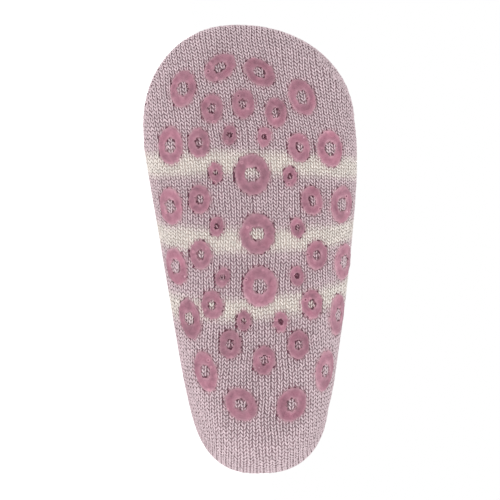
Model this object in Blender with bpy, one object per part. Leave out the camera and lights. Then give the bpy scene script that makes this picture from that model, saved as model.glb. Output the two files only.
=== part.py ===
"""Child's knitted slipper sock with a ring grip print on the sole.

The sock is drawn in its own foot frame, in millimetres:
    x  from the back of the heel towards the toe
    y  across the foot, positive towards the right when the sole is looked at with the toe up
    z  up from the plane that the sole would stand on
and laid on its side by the empty "foot_axes", so that the edge of the sole and the side of
the leg rest on one plane.
"""
import math

import bpy
import numpy as np
from mathutils import Matrix

# ---------------------------------------------------------------- driving sizes, mm
MM = 0.001
WALL = 1.8                 # terry-lined knit, as thick as it stands unstretched
RIM_ROUND = 0.6            # how far the folded cuff edge is rounded up
TOE_TIP = (120.1, -2.7, 9.8)
TOE_PLAN = 2.05            # roundness of the toe seen from below, 2 is an ellipse
TOE_SOLE = 2.30            # roundness of the toe's sole side seen from the side
TOE_TOP = 1.90             # and of its upper side

GRIP_GAP = 0.3             # between the knit and a ring's underside
GRIP_THICK = 0.85          # a printed ring
GRIP_CHAMFER = 0.45        # its sloping edge
GRIP_SEGMENTS = 14

LEAN = math.radians(6.85)  # angle between the foot's length and the floor line
FLOOR = -16.35             # floor plane, measured from the foot frame's origin
AXES_AT = (59.62, -41.69, 16.35)   # where the foot frame's origin lies in the part's frame

AROUND_BACK = 24           # facets round the sole half
AROUND_FRONT = 20          # facets round the upper half
STATIONS = 34              # rings of facets from the cuff to the toe

# One row for each section. back: where it meets the heel or sole line. front: where it meets
# the shin or instep line. left, right: half widths. split: how far from back to front the
# section is widest. round_back, round_front: fullness of the two halves, 2 is an ellipse.
SECTIONS = [
    # name        back_x back_z front_x front_z  left right  split round_back round_front
    ("cuff_rim",      6.4, 84.0,   47.0,   84.0,  20.2, 19.3, 0.50,   2.00,      2.00),
    ("cuff_mid",      6.2, 74.0,   47.2,   74.0,  20.5, 19.4, 0.50,   2.00,      2.00),
    ("cuff_base",     5.8, 62.0,   47.6,   64.5,  20.4, 19.3, 0.50,   2.00,      2.00),
    ("ankle",         4.6, 48.0,   49.6,   57.0,  19.6, 19.0, 0.50,   2.00,      2.00),
    ("heel_top",      2.4, 34.0,   52.0,   52.2,  18.9, 19.0, 0.48,   2.10,      2.00),
    ("heel_back",     0.0, 20.5,   54.8,   48.8,  18.6, 19.4, 0.46,   2.50,      2.00),
    ("heel_turn",     1.8,  8.8,   57.4,   46.6,  19.1, 19.7, 0.44,   2.27,      2.00),
    ("heel_floor",    8.2,  2.0,   60.0,   44.8,  19.7, 20.9, 0.42,   2.30,      2.00),
    ("heel_pad",     17.8,  0.0,   62.8,   43.0,  20.7, 22.1, 0.40,   2.45,      2.00),
    ("heel_front",   30.0,  0.3,   66.0,   41.0,  22.2, 23.9, 0.39,   2.50,      2.05),
    ("arch",         42.8,  1.0,   70.5,   38.4,  23.4, 25.6, 0.38,   2.50,      2.10),
    ("waist",        54.5,  1.0,   75.5,   35.3,  24.2, 27.0, 0.37,   2.60,      2.15),
    ("ball_back",    65.5,  0.4,   80.9,   32.2,  25.0, 28.2, 0.37,   2.70,      2.20),
    ("ball",         75.5,  0.0,   86.4,   29.5,  26.1, 29.1, 0.37,   2.80,      2.25),
    ("ball_front",   84.5,  0.0,   91.8,   27.2,  27.0, 29.4, 0.38,   2.80,      2.30),
    ("toe_root",     92.0,  0.1,   96.6,   25.6,  27.0, 29.1, 0.40,   2.75,      2.30),
]
FIRST_SOLE_ROW = 5         # heel_back, where the grip chart begins
DOME = 3.0                 # rows' worth of parameter given to the rounded toe

# Each kind of ring: its outer length and width, and its hole's.
RING_KINDS = {
    # kind     length width hole_length hole_width
    "big":    (10.6,  9.0,   3.8,  3.7),
    "edge":   ( 9.8,  6.7,   3.8,  3.1),
    "long":   (10.9,  6.2,   3.6,  2.6),
    "mid":    ( 7.6,  5.7,   2.6,  2.1),
    "small":  ( 5.3,  3.6,   1.5,  1.3),
    "tip":    ( 9.2,  6.4,   3.4,  2.5),
    "heel":   ( 9.4,  7.5,   3.4,  3.0),
}

# The print, row by row from the toe. along: distance from the heel. left, right: how far from
# the foot's middle line, measured round the sole's surface (negative is left). lead: how much
# nearer the toe the left ring lies than the right one. turn: how far each ring's long axis
# swings to the right of the foot's length. A row with one ring has None for the other.
GRIP_ROWS = [
    # kind     along   left  right  lead turn_left turn_right
    ("tip",    107.6,  -5.8,   4.5,  1.8,   57,  -49),
    ("edge",   101.5, -15.9,  15.4,  3.8,   12,  -20),
    ("mid",     98.6,  -0.2,  None,  0.0,   -2,    0),
    ("mid",     96.8,  -8.4,   8.3,  1.9,    3,   -2),
    ("small",   90.1,  -4.1,   4.9,  0.9,   10,    3),
    ("mid",     87.7, -12.3,  14.0,  2.5,    0,  -11),
    ("edge",    87.2, -20.0,  22.3,  2.8,    2,   -6),
    ("small",   79.9,  -8.3,  11.2,  1.9,   -4,   -5),
    ("big",     79.9,   1.3,  None,  0.0,  -10,    0),
    ("mid",     73.2, -12.9,  16.7,  1.8,    1,   -7),
    ("edge",    71.8, -21.0,  25.2,  1.7,   -5,    9),
    ("small",   66.1,  -8.7,  12.5,  1.3,    7,  -10),
    ("big",     64.3,   1.9,  None,  0.0,    0,    0),
    ("mid",     58.7, -13.4,  17.4,  1.6,   -3,    7),
    ("edge",    56.3, -20.8,  26.0,  0.9,  -14,   13),
    ("small",   53.0,  -7.8,  11.8,  0.6,   16,   -7),
    ("big",     50.4,   1.9,  None,  0.0,    4,    0),
    ("mid",     45.6, -11.0,  15.5,  1.1,   -6,    2),
    ("long",    42.3, -17.6,  23.8,  0.9,  -12,    8),
    ("small",   41.2,  -2.8,   6.9,  0.7,    3,    5),
    ("mid",     35.1,  -6.7,  11.3,  1.0,    3,    5),
    ("mid",     31.0,   2.0,  None,  0.0,   10,    0),
    ("long",    28.0, -13.8,  19.0,  1.4,  -12,   15),
    ("heel",    19.3,  -4.6,   8.8,  0.7,  -41,   35),
]

# ---------------------------------------------------------------- the sock's surface
TABLE = np.array([row[1:] for row in SECTIONS], dtype=float)
LAST_ROW = len(SECTIONS) - 1
T_END = LAST_ROW + DOME


def row_at(t):
    """The section's sizes at t, on a smooth curve through the rows of SECTIONS."""
    t = np.clip(t, 0.0, LAST_ROW)
    i = np.minimum(t.astype(int), LAST_ROW - 1)
    f = (t - i)[..., None]
    one, two = TABLE[i], TABLE[i + 1]
    before = np.where((i > 0)[..., None], TABLE[np.maximum(i - 1, 0)], 2 * one - two)
    after = np.where((i < LAST_ROW - 1)[..., None], TABLE[np.minimum(i + 2, LAST_ROW)],
                     2 * two - one)
    return 0.5 * (2 * one + (two - before) * f + (2 * before - 5 * one + 4 * two - after) * f ** 2
                  + (3 * one - before - 3 * two + after) * f ** 3)


def power(value, exponent):
    return np.sign(value) * np.abs(value) ** exponent


def surface(t, a):
    """Outer surface: t runs from the cuff to the toe, a round the section from the sole line."""
    t, a = np.broadcast_arrays(np.asarray(t, float), np.asarray(a, float))
    back_x, back_z, front_x, front_z, left, right, split, n_back, n_front = np.moveaxis(
        row_at(t), -1, 0)
    turn = np.clip((t - LAST_ROW) / DOME, 0.0, 1.0) * math.pi / 2
    ahead = np.sin(turn) ** (2 / TOE_PLAN)
    wide = np.cos(turn) ** (2 / TOE_PLAN)
    back = np.cos(a) >= 0
    toe = np.where(back, TOE_SOLE, TOE_TOP)
    high = np.maximum(1 - ahead ** toe, 0.0) ** (1 / toe)
    n = np.where(back, n_back, n_front)
    deep = power(np.cos(a), 2 / n) * np.where(back, split, 1 - split) * high
    mid_x = back_x + split * (front_x - back_x)
    mid_z = back_z + split * (front_z - back_z)
    centre = (right - left) / 2
    x = mid_x + ahead * (TOE_TIP[0] - mid_x) - deep * (front_x - back_x)
    z = mid_z + ahead * (TOE_TIP[2] - mid_z) - deep * (front_z - back_z)
    y = (centre + (1 - wide) * (TOE_TIP[1] - centre)
         + power(np.sin(a), 2 / n) * wide * (left + right) / 2)
    return np.stack([x, y, z], -1)


def normal(t, a):
    """Unit normal pointing out of the sock."""
    step = 0.004
    t, a = np.broadcast_arrays(np.asarray(t, float), np.asarray(a, float))
    t0, t1 = np.maximum(t - step, 0.0), np.minimum(t + step, T_END - 1e-6)
    along = surface(t1, a) - surface(t0, a)
    around = surface(t, a + step) - surface(t, a - step)
    out = np.cross(around, along)
    return out / np.linalg.norm(out, axis=-1, keepdims=True)


def even_angles(t):
    """Angles at even steps round the sole half, then round the upper half, of section t."""
    angles = []
    for low, high, count in ((-math.pi / 2, math.pi / 2, AROUND_BACK),
                             (math.pi / 2, 3 * math.pi / 2, AROUND_FRONT)):
        fine = np.linspace(low, high, 721)
        run = np.linalg.norm(np.diff(surface(t, fine), axis=0), axis=1)
        run = np.concatenate([[0.0], np.cumsum(run)])
        angles.append(np.interp(np.arange(count) / count * run[-1], run, fine))
    return np.concatenate(angles)


def even_stations(count):
    """Values of t at even steps of the mean run of the sole line and the instep line."""
    fine = np.linspace(0.0, T_END, 4001)
    run = sum(np.concatenate([[0.0], np.cumsum(np.linalg.norm(
        np.diff(surface(fine, a), axis=0), axis=1))]) for a in (0.0, math.pi))
    return np.interp(np.linspace(0.0, run[-1], count + 1), run, fine)[:-1]


def pressed(points, clear):
    """Points pushed back to the given height above the floor plane."""
    down = np.array([math.sin(LEAN), math.cos(LEAN), 0.0])
    short = np.maximum(clear + FLOOR - points @ down, 0.0)
    return points + short[..., None] * down


# ---------------------------------------------------------------- a flat chart of the sole
CHART_STEP = 0.5
CHART_ALONG = np.arange(6.0, 117.01, CHART_STEP)
CHART_AROUND = np.arange(-36.0, 36.01, CHART_STEP)


def sole_chart():
    """The sole's surface and normals by distance from the heel and distance round from the
    foot's middle line (y = 0), with each cross cut taken square to the foot's length."""
    t = np.linspace(FIRST_SOLE_ROW, T_END - 1e-4, 700)
    a = np.linspace(-0.72, 0.72, 145) * math.pi
    grid = surface(t[:, None], a[None, :])
    points = np.zeros((len(CHART_ALONG), len(CHART_AROUND), 3))
    normals = np.zeros_like(points)
    middle = len(a) // 2
    for i, along in enumerate(CHART_ALONG):
        reach = np.array([grid[:, j, 0].min() <= along <= grid[:, j, 0].max()
                          for j in range(len(a))])
        lines = [j for j in range(len(a))
                 if reach[min(j, middle):max(j, middle) + 1].all()]
        t_cut = np.array([np.interp(along, grid[:, j, 0], t) for j in lines])
        a_cut = a[lines]
        cut = surface(t_cut, a_cut)
        run = np.concatenate([[0.0], np.cumsum(np.linalg.norm(np.diff(cut, axis=0), axis=1))])
        run -= np.interp(0.0, cut[:, 1], run)
        t_even = np.interp(CHART_AROUND, run, t_cut)
        a_even = np.interp(CHART_AROUND, run, a_cut)
        points[i] = surface(t_even, a_even)
        normals[i] = normal(t_even, a_even)
    return points, normals


def on_chart(table, along, around):
    """Value of a chart table between its points."""
    u = np.clip((along - CHART_ALONG[0]) / CHART_STEP, 0, len(CHART_ALONG) - 1.001)
    v = np.clip((around - CHART_AROUND[0]) / CHART_STEP, 0, len(CHART_AROUND) - 1.001)
    i, j = u.astype(int), v.astype(int)
    fu, fv = (u - i)[..., None], (v - j)[..., None]
    return ((1 - fu) * (1 - fv) * table[i, j] + fu * (1 - fv) * table[i + 1, j]
            + (1 - fu) * fv * table[i, j + 1] + fu * fv * table[i + 1, j + 1])


# ---------------------------------------------------------------- making objects
def material(name, colour, roughness):
    made = bpy.data.materials.new(name)
    made.use_nodes = True
    shader = made.node_tree.nodes["Principled BSDF"]
    shader.inputs["Base Color"].default_value = (*colour, 1.0)
    shader.inputs["Roughness"].default_value = roughness
    shader.inputs["Metallic"].default_value = 0.0
    return made


def add_object(name, points, faces, look, parent, location=None, axes=None):
    """A mesh from points in the foot frame, kept in its own local axes."""
    location = np.zeros(3) if location is None else location
    axes = np.eye(3) if axes is None else axes
    local = (points - location) @ axes
    mesh = bpy.data.meshes.new(name)
    mesh.from_pydata([tuple(p) for p in local * MM], [], faces)
    mesh.validate()
    mesh.shade_smooth()
    mesh.set_sharp_from_angle(angle=math.radians(40))
    mesh.materials.append(look)
    made = bpy.data.objects.new(name, mesh)
    bpy.context.scene.collection.objects.link(made)
    made.parent = parent
    made.rotation_euler = Matrix(axes.tolist()).to_euler()
    made.location = [float(v) * MM for v in location]
    return made


def make_sock(parent):
    stations = even_stations(STATIONS)
    count = AROUND_BACK + AROUND_FRONT
    outer, inner = [], []
    for t in stations:
        a = even_angles(t)
        skin = surface(t, a)
        outer.append(pressed(skin, 0.0))
        inner.append(pressed(skin - WALL * normal(t, a), WALL))
    rim = (outer[0] + inner[0]) / 2 + np.array([0.0, 0.0, RIM_ROUND])
    tip = np.array([TOE_TIP])
    points = np.concatenate([inner[i] for i in range(STATIONS - 1, -1, -1)] + [rim]
                            + outer + [tip - [[WALL, 0.0, 0.0]], tip])
    loops = 2 * STATIONS + 1
    faces = []
    for i in range(loops - 1):
        for j in range(count):
            k = (j + 1) % count
            faces.append((i * count + j, i * count + k, (i + 1) * count + k, (i + 1) * count + j))
    inner_tip, outer_tip = loops * count, loops * count + 1
    for j in range(count):
        k = (j + 1) % count
        faces.append((inner_tip, k, j))
        faces.append((outer_tip, (loops - 1) * count + j, (loops - 1) * count + k))
    return add_object("sock", points, faces, material("knit", (0.25, 0.13, 0.18), 0.9), parent)


def ring_points(chart, along, around, size, turn):
    """Four loops of a printed ring: underside and top, inner and outer edge."""
    points, normals = chart
    length, width, hole_length, hole_width = size
    angle = np.arange(GRIP_SEGMENTS) / GRIP_SEGMENTS * 2 * math.pi
    swing = math.radians(turn)
    here = lambda u, v: on_chart(points, np.array(u), np.array(v))
    slope = np.linalg.norm(here(along + 1.0, around) - here(along - 1.0, around)) / 2
    loops = []
    for half_long, half_wide, lift in (
            (hole_length / 2, hole_width / 2, GRIP_GAP),
            (length / 2, width / 2, GRIP_GAP),
            (length / 2 - GRIP_CHAMFER, width / 2 - GRIP_CHAMFER, GRIP_GAP + GRIP_THICK),
            (hole_length / 2 + GRIP_CHAMFER, hole_width / 2 + GRIP_CHAMFER,
             GRIP_GAP + GRIP_THICK)):
        ahead, aside = half_long * np.cos(angle), half_wide * np.sin(angle)
        u = along + (ahead * math.cos(swing) - aside * math.sin(swing)) / slope
        v = around + ahead * math.sin(swing) + aside * math.cos(swing)
        skin, out = on_chart(points, u, v), on_chart(normals, u, v)
        out /= np.linalg.norm(out, axis=-1, keepdims=True)
        loops.append(pressed(skin + lift * out, 0.02))
    return loops


def make_ring(name, chart, along, around, kind, turn, look, parent):
    loops = ring_points(chart, along, around, RING_KINDS[kind], turn)
    n = GRIP_SEGMENTS
    faces = []
    for i in range(4):
        low, high = i * n, (i + 1) % 4 * n
        for j in range(n):
            k = (j + 1) % n
            faces.append((low + j, high + j, high + k, low + k))
    u, v = np.array(along), np.array(around)
    out = on_chart(chart[1], u, v)
    out /= np.linalg.norm(out)
    ahead = on_chart(chart[0], u + 1.0, v) - on_chart(chart[0], u - 1.0, v)
    ahead -= ahead.dot(out) * out
    ahead /= np.linalg.norm(ahead)
    axes = np.stack([ahead, np.cross(out, ahead), out], axis=1)
    return add_object(name, np.concatenate(loops), faces, look, parent,
                      location=on_chart(chart[0], u, v), axes=axes)


def build():
    for old in list(bpy.data.objects):
        bpy.data.objects.remove(old, do_unlink=True)

    axes = bpy.data.objects.new("foot_axes", None)
    bpy.context.scene.collection.objects.link(axes)
    s, c = math.sin(LEAN), math.cos(LEAN)
    axes.rotation_euler = Matrix(((-c, s, 0.0), (0.0, 0.0, 1.0), (s, c, 0.0))).to_euler()
    axes.location = [v * MM for v in AXES_AT]

    make_sock(axes)
    chart = sole_chart()
    for number, (kind, along, left, right, lead, turn_left, turn_right) in enumerate(GRIP_ROWS, 1):
        if right is None:
            pair = [("c", along, left, turn_left)]
        else:
            pair = [("l", along + lead / 2, left, turn_left),
                    ("r", along - lead / 2, right, turn_right)]
        for side, at, around, turn in pair:
            name = f"grip_{number:02d}_{side}"
            look = material(name, (0.42, 0.21, 0.27), 0.38)
            make_ring(name, chart, at, around, kind, turn, look, axes)


build()
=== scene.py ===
import math

import bpy
import numpy as np
from mathutils import Matrix, Vector


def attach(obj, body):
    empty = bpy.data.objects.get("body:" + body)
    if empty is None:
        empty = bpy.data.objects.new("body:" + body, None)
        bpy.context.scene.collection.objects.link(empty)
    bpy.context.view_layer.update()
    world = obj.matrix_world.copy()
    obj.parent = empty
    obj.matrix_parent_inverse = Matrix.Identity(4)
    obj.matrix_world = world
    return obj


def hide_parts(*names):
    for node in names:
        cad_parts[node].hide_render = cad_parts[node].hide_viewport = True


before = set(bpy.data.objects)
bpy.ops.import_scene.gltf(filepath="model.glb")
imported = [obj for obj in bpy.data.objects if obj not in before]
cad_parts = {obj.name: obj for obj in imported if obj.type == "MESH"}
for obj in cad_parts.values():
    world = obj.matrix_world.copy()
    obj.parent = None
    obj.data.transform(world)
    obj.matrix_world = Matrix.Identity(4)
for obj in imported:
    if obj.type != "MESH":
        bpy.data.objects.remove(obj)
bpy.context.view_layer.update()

RNG = np.random.default_rng(41)
MM = 0.001

# ------------------------------------------------------------------ sizes, mm, as in the CAD
WALL = 1.8
RIM_ROUND = 0.6
TOE_TIP = (120.1, -2.7, 9.8)
TOE_PLAN = 2.05
TOE_SOLE = 2.30
TOE_TOP = 1.90
LEAN = math.radians(6.85)
FLOOR = -16.35
AXES_AT = (59.62, -41.69, 16.35)

SECTIONS = [
    # name        back_x back_z front_x front_z  left right  split round_back round_front
    ("cuff_rim",      6.4, 84.0,   47.0,   84.0,  20.2, 19.3, 0.50,   2.00,      2.00),
    ("cuff_mid",      6.2, 74.0,   47.2,   74.0,  20.5, 19.4, 0.50,   2.00,      2.00),
    ("cuff_base",     5.8, 62.0,   47.6,   64.5,  20.4, 19.3, 0.50,   2.00,      2.00),
    ("ankle",         4.6, 48.0,   49.6,   57.0,  19.6, 19.0, 0.50,   2.00,      2.00),
    ("heel_top",      2.4, 34.0,   52.0,   52.2,  18.9, 19.0, 0.48,   2.10,      2.00),
    ("heel_back",     0.0, 20.5,   54.8,   48.8,  18.6, 19.4, 0.46,   2.50,      2.00),
    ("heel_turn",     1.8,  8.8,   57.4,   46.6,  19.1, 19.7, 0.44,   2.27,      2.00),
    ("heel_floor",    8.2,  2.0,   60.0,   44.8,  19.7, 20.9, 0.42,   2.30,      2.00),
    ("heel_pad",     17.8,  0.0,   62.8,   43.0,  20.7, 22.1, 0.40,   2.45,      2.00),
    ("heel_front",   30.0,  0.3,   66.0,   41.0,  22.2, 23.9, 0.39,   2.50,      2.05),
    ("arch",         42.8,  1.0,   70.5,   38.4,  23.4, 25.6, 0.38,   2.50,      2.10),
    ("waist",        54.5,  1.0,   75.5,   35.3,  24.2, 27.0, 0.37,   2.60,      2.15),
    ("ball_back",    65.5,  0.4,   80.9,   32.2,  25.0, 28.2, 0.37,   2.70,      2.20),
    ("ball",         75.5,  0.0,   86.4,   29.5,  26.1, 29.1, 0.37,   2.80,      2.25),
    ("ball_front",   84.5,  0.0,   91.8,   27.2,  27.0, 29.4, 0.38,   2.80,      2.30),
    ("toe_root",     92.0,  0.1,   96.6,   25.6,  27.0, 29.1, 0.40,   2.75,      2.30),
]
FIRST_SOLE_ROW = 5
DOME = 3.0

RING_KINDS = {
    # kind     length width hole_length hole_width
    "big":    (10.6,  9.0,   3.8,  3.7),
    "edge":   ( 9.8,  6.7,   3.8,  3.1),
    "long":   (10.9,  6.2,   3.6,  2.6),
    "mid":    ( 7.6,  5.7,   2.6,  2.1),
    "small":  ( 5.3,  3.6,   1.5,  1.3),
    "tip":    ( 9.2,  6.4,   3.4,  2.5),
    "heel":   ( 9.4,  7.5,   3.4,  3.0),
}
GRIP_ROWS = [
    # kind     along   left  right  lead turn_left turn_right
    ("tip",    107.6,  -5.8,   4.5,  1.8,   57,  -49),
    ("edge",   101.5, -15.9,  15.4,  3.8,   12,  -20),
    ("mid",     98.6,  -0.2,  None,  0.0,   -2,    0),
    ("mid",     96.8,  -8.4,   8.3,  1.9,    3,   -2),
    ("small",   90.1,  -4.1,   4.9,  0.9,   10,    3),
    ("mid",     87.7, -12.3,  14.0,  2.5,    0,  -11),
    ("edge",    87.2, -20.0,  22.3,  2.8,    2,   -6),
    ("small",   79.9,  -8.3,  11.2,  1.9,   -4,   -5),
    ("big",     79.9,   1.3,  None,  0.0,  -10,    0),
    ("mid",     73.2, -12.9,  16.7,  1.8,    1,   -7),
    ("edge",    71.8, -21.0,  25.2,  1.7,   -5,    9),
    ("small",   66.1,  -8.7,  12.5,  1.3,    7,  -10),
    ("big",     64.3,   1.9,  None,  0.0,    0,    0),
    ("mid",     58.7, -13.4,  17.4,  1.6,   -3,    7),
    ("edge",    56.3, -20.8,  26.0,  0.9,  -14,   13),
    ("small",   53.0,  -7.8,  11.8,  0.6,   16,   -7),
    ("big",     50.4,   1.9,  None,  0.0,    4,    0),
    ("mid",     45.6, -11.0,  15.5,  1.1,   -6,    2),
    ("long",    42.3, -17.6,  23.8,  0.9,  -12,    8),
    ("small",   41.2,  -2.8,   6.9,  0.7,    3,    5),
    ("mid",     35.1,  -6.7,  11.3,  1.0,    3,    5),
    ("mid",     31.0,   2.0,  None,  0.0,   10,    0),
    ("long",    28.0, -13.8,  19.0,  1.4,  -12,   15),
    ("heel",    19.3,  -4.6,   8.8,  0.7,  -41,   35),
]

# ------------------------------------------------------------------ the camera
VIEW_TURN = math.radians(2.8)      # the foot leans this far to the left in the view
VIEW_AT = (60.12, -0.264, 0.0)     # point of the sole plane in the middle of the view
VIEW_FROM = 800.0
VIEW_WIDE = 131.4                  # mm across the view at the sole plane


def to_world(points):
    """Foot frame, mm, to the part's frame, metres."""
    p = np.asarray(points, float)
    s, c = math.sin(LEAN), math.cos(LEAN)
    out = np.stack([-c * p[..., 0] + s * p[..., 1], p[..., 2], s * p[..., 0] + c * p[..., 1]], -1)
    return (out + np.array(AXES_AT)) * MM


scene = bpy.context.scene
roll = LEAN + VIEW_TURN
right = Vector((math.sin(roll), 0.0, math.cos(roll)))
up = Vector((-math.cos(roll), 0.0, math.sin(roll)))
back = Vector((0.0, -1.0, 0.0))
target = Vector(to_world(VIEW_AT))
camera_data = bpy.data.cameras.new("view")
camera_data.sensor_width = 36.0
camera_data.lens = 36.0 * VIEW_FROM / VIEW_WIDE
camera_data.clip_start, camera_data.clip_end = 0.01, 20.0
camera = bpy.data.objects.new("view", camera_data)
scene.collection.objects.link(camera)
camera.matrix_world = (Matrix.Translation(target + back * VIEW_FROM * MM)
                       @ Matrix((right, up, back)).transposed().to_4x4())
scene.camera = camera
scene.view_settings.view_transform = "Standard"
scene.view_settings.look = "None"

# ------------------------------------------------------------------ the sock's surface
TABLE = np.array([row[1:] for row in SECTIONS], dtype=float)
LAST_ROW = len(SECTIONS) - 1
T_END = LAST_ROW + DOME


def row_at(t):
    t = np.clip(t, 0.0, LAST_ROW)
    i = np.minimum(t.astype(int), LAST_ROW - 1)
    f = (t - i)[..., None]
    one, two = TABLE[i], TABLE[i + 1]
    before = np.where((i > 0)[..., None], TABLE[np.maximum(i - 1, 0)], 2 * one - two)
    after = np.where((i < LAST_ROW - 1)[..., None], TABLE[np.minimum(i + 2, LAST_ROW)],
                     2 * two - one)
    return 0.5 * (2 * one + (two - before) * f + (2 * before - 5 * one + 4 * two - after) * f ** 2
                  + (3 * one - before - 3 * two + after) * f ** 3)


def power(value, exponent):
    return np.sign(value) * np.abs(value) ** exponent


def surface(t, a):
    t, a = np.broadcast_arrays(np.asarray(t, float), np.asarray(a, float))
    back_x, back_z, front_x, front_z, left, right, split, n_back, n_front = np.moveaxis(
        row_at(t), -1, 0)
    turn = np.clip((t - LAST_ROW) / DOME, 0.0, 1.0) * math.pi / 2
    ahead = np.sin(turn) ** (2 / TOE_PLAN)
    wide = np.cos(turn) ** (2 / TOE_PLAN)
    is_back = np.cos(a) >= 0
    toe = np.where(is_back, TOE_SOLE, TOE_TOP)
    high = np.maximum(1 - ahead ** toe, 0.0) ** (1 / toe)
    n = np.where(is_back, n_back, n_front)
    deep = power(np.cos(a), 2 / n) * np.where(is_back, split, 1 - split) * high
    mid_x = back_x + split * (front_x - back_x)
    mid_z = back_z + split * (front_z - back_z)
    centre = (right - left) / 2
    x = mid_x + ahead * (TOE_TIP[0] - mid_x) - deep * (front_x - back_x)
    z = mid_z + ahead * (TOE_TIP[2] - mid_z) - deep * (front_z - back_z)
    y = (centre + (1 - wide) * (TOE_TIP[1] - centre)
         + power(np.sin(a), 2 / n) * wide * (left + right) / 2)
    return np.stack([x, y, z], -1)


def unit(v):
    return v / np.maximum(np.linalg.norm(v, axis=-1, keepdims=True), 1e-12)


def normal(t, a):
    step = 0.004
    t, a = np.broadcast_arrays(np.asarray(t, float), np.asarray(a, float))
    t0, t1 = np.maximum(t - step, 0.0), np.minimum(t + step, T_END - 1e-6)
    along = surface(t1, a) - surface(t0, a)
    around = surface(t, a + step) - surface(t, a - step)
    return unit(np.cross(around, along))


def pressed(points, clear):
    down = np.array([math.sin(LEAN), math.cos(LEAN), 0.0])
    short = np.maximum(clear + FLOOR - points @ down, 0.0)
    return points + short[..., None] * down


# Soft creases of the worn-in ankle: a trough from one end to the other, with a low ridge along
# each side of it.
CREASES = [
    # from                    to                     wide  deep, mm
    ((44.5, -16.0, 61.0), (50.0,   9.0, 55.5), 2.1, 1.12),
    ((50.5, -10.0, 53.0), (47.0,  17.0, 52.0), 2.0, 0.98),
    ((55.0, -13.0, 46.0), (58.0,   8.0, 46.5), 1.9, 0.68),
    ((40.0, -19.5, 50.0), (22.0, -20.0, 37.0), 2.3, 0.90),
    ((38.0,  19.5, 47.0), (19.0,  20.0, 33.0), 2.3, 0.98),
    ((33.0,  20.5, 36.0), (20.0,  20.5, 21.0), 2.2, 0.60),
    ((34.0, -20.0, 35.0), (17.0, -19.5, 24.0), 2.2, 0.60),
    ((4.5,  -12.0, 44.0), (3.5,    9.0, 40.5), 2.2, 0.75),
    ((3.5,   -6.0, 35.0), (3.0,   13.0, 32.5), 1.9, 0.52),
    ((66.0,  12.0, 40.0), (74.0,  -6.0, 36.5), 2.4, 0.52),
]


def creased(points, normals):
    """Points of the surface, moved in and out by the creases."""
    moved = np.zeros(points.shape[:-1])
    for start, end, wide, deep in CREASES:
        start, end = np.array(start), np.array(end)
        span = end - start
        f = ((points - start) @ span) / (span @ span)
        bow = 0.9 * np.sin(np.clip(f, 0, 1) * 2 * math.pi)
        foot = start + np.clip(f, 0, 1)[..., None] * span
        away = points - foot
        across = np.cross(normals, span / np.linalg.norm(span))
        aside = (away * across).sum(-1) - bow
        far = np.sqrt(np.maximum((away ** 2).sum(-1) - (away * across).sum(-1) ** 2, 0.0))
        fade = np.exp(-(far / 4.0) ** 2) * np.sin(np.clip(f, 0, 1) * math.pi) ** 0.7
        u = np.abs(aside) / wide
        moved += deep * fade * (0.5 * np.exp(-((u - 1.8) / 0.8) ** 2) - np.exp(-u ** 2))
    return points + moved[..., None] * normals


def running(points):
    """Distance run along a line of points."""
    return np.concatenate([[0.0], np.cumsum(np.linalg.norm(np.diff(points, axis=0), axis=1))])


# ------------------------------------------------------------------ a flat chart of the sole
CHART_STEP = 0.5
CHART_ALONG = np.arange(6.0, 117.01, CHART_STEP)
CHART_AROUND = np.arange(-36.0, 36.01, CHART_STEP)


def sole_chart():
    t = np.linspace(FIRST_SOLE_ROW, T_END - 1e-4, 700)
    a = np.linspace(-0.72, 0.72, 145) * math.pi
    grid = surface(t[:, None], a[None, :])
    points = np.zeros((len(CHART_ALONG), len(CHART_AROUND), 3))
    normals = np.zeros_like(points)
    middle = len(a) // 2
    for i, along in enumerate(CHART_ALONG):
        reach = np.array([grid[:, j, 0].min() <= along <= grid[:, j, 0].max()
                          for j in range(len(a))])
        lines = [j for j in range(len(a))
                 if reach[min(j, middle):max(j, middle) + 1].all()]
        t_cut = np.array([np.interp(along, grid[:, j, 0], t) for j in lines])
        a_cut = a[lines]
        cut = surface(t_cut, a_cut)
        run = running(cut)
        run -= np.interp(0.0, cut[:, 1], run)
        t_even = np.interp(CHART_AROUND, run, t_cut)
        a_even = np.interp(CHART_AROUND, run, a_cut)
        points[i] = surface(t_even, a_even)
        normals[i] = normal(t_even, a_even)
    return points, normals


def on_chart(table, along, around):
    u = np.clip((along - CHART_ALONG[0]) / CHART_STEP, 0, len(CHART_ALONG) - 1.001)
    v = np.clip((around - CHART_AROUND[0]) / CHART_STEP, 0, len(CHART_AROUND) - 1.001)
    i, j = u.astype(int), v.astype(int)
    fu, fv = (u - i)[..., None], (v - j)[..., None]
    return ((1 - fu) * (1 - fv) * table[i, j] + fu * (1 - fv) * table[i + 1, j]
            + (1 - fu) * fv * table[i, j + 1] + fu * fv * table[i + 1, j + 1])


CHART_POINTS, CHART_NORMALS = sole_chart()


def chart_place(points):
    """Chart coordinates of points on the sole: distance from the heel, distance round."""
    along = points[:, 0]
    i = np.clip(np.round((along - CHART_ALONG[0]) / CHART_STEP).astype(int), 0,
                len(CHART_ALONG) - 1)
    gap = CHART_POINTS[i][:, :, 1:] - points[:, None, 1:]
    far = (gap ** 2).sum(-1)
    j = np.clip(far.argmin(1), 1, len(CHART_AROUND) - 2)
    rows = np.arange(len(points))
    low, high = CHART_POINTS[i, j - 1, 1:], CHART_POINTS[i, j + 1, 1:]
    span = high - low
    f = ((points[:, 1:] - low) * span).sum(-1) / np.maximum((span ** 2).sum(-1), 1e-9)
    around = CHART_AROUND[j - 1] + 2 * CHART_STEP * np.clip(f, 0, 1)
    return along, around, np.sqrt(far[rows, j])


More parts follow.
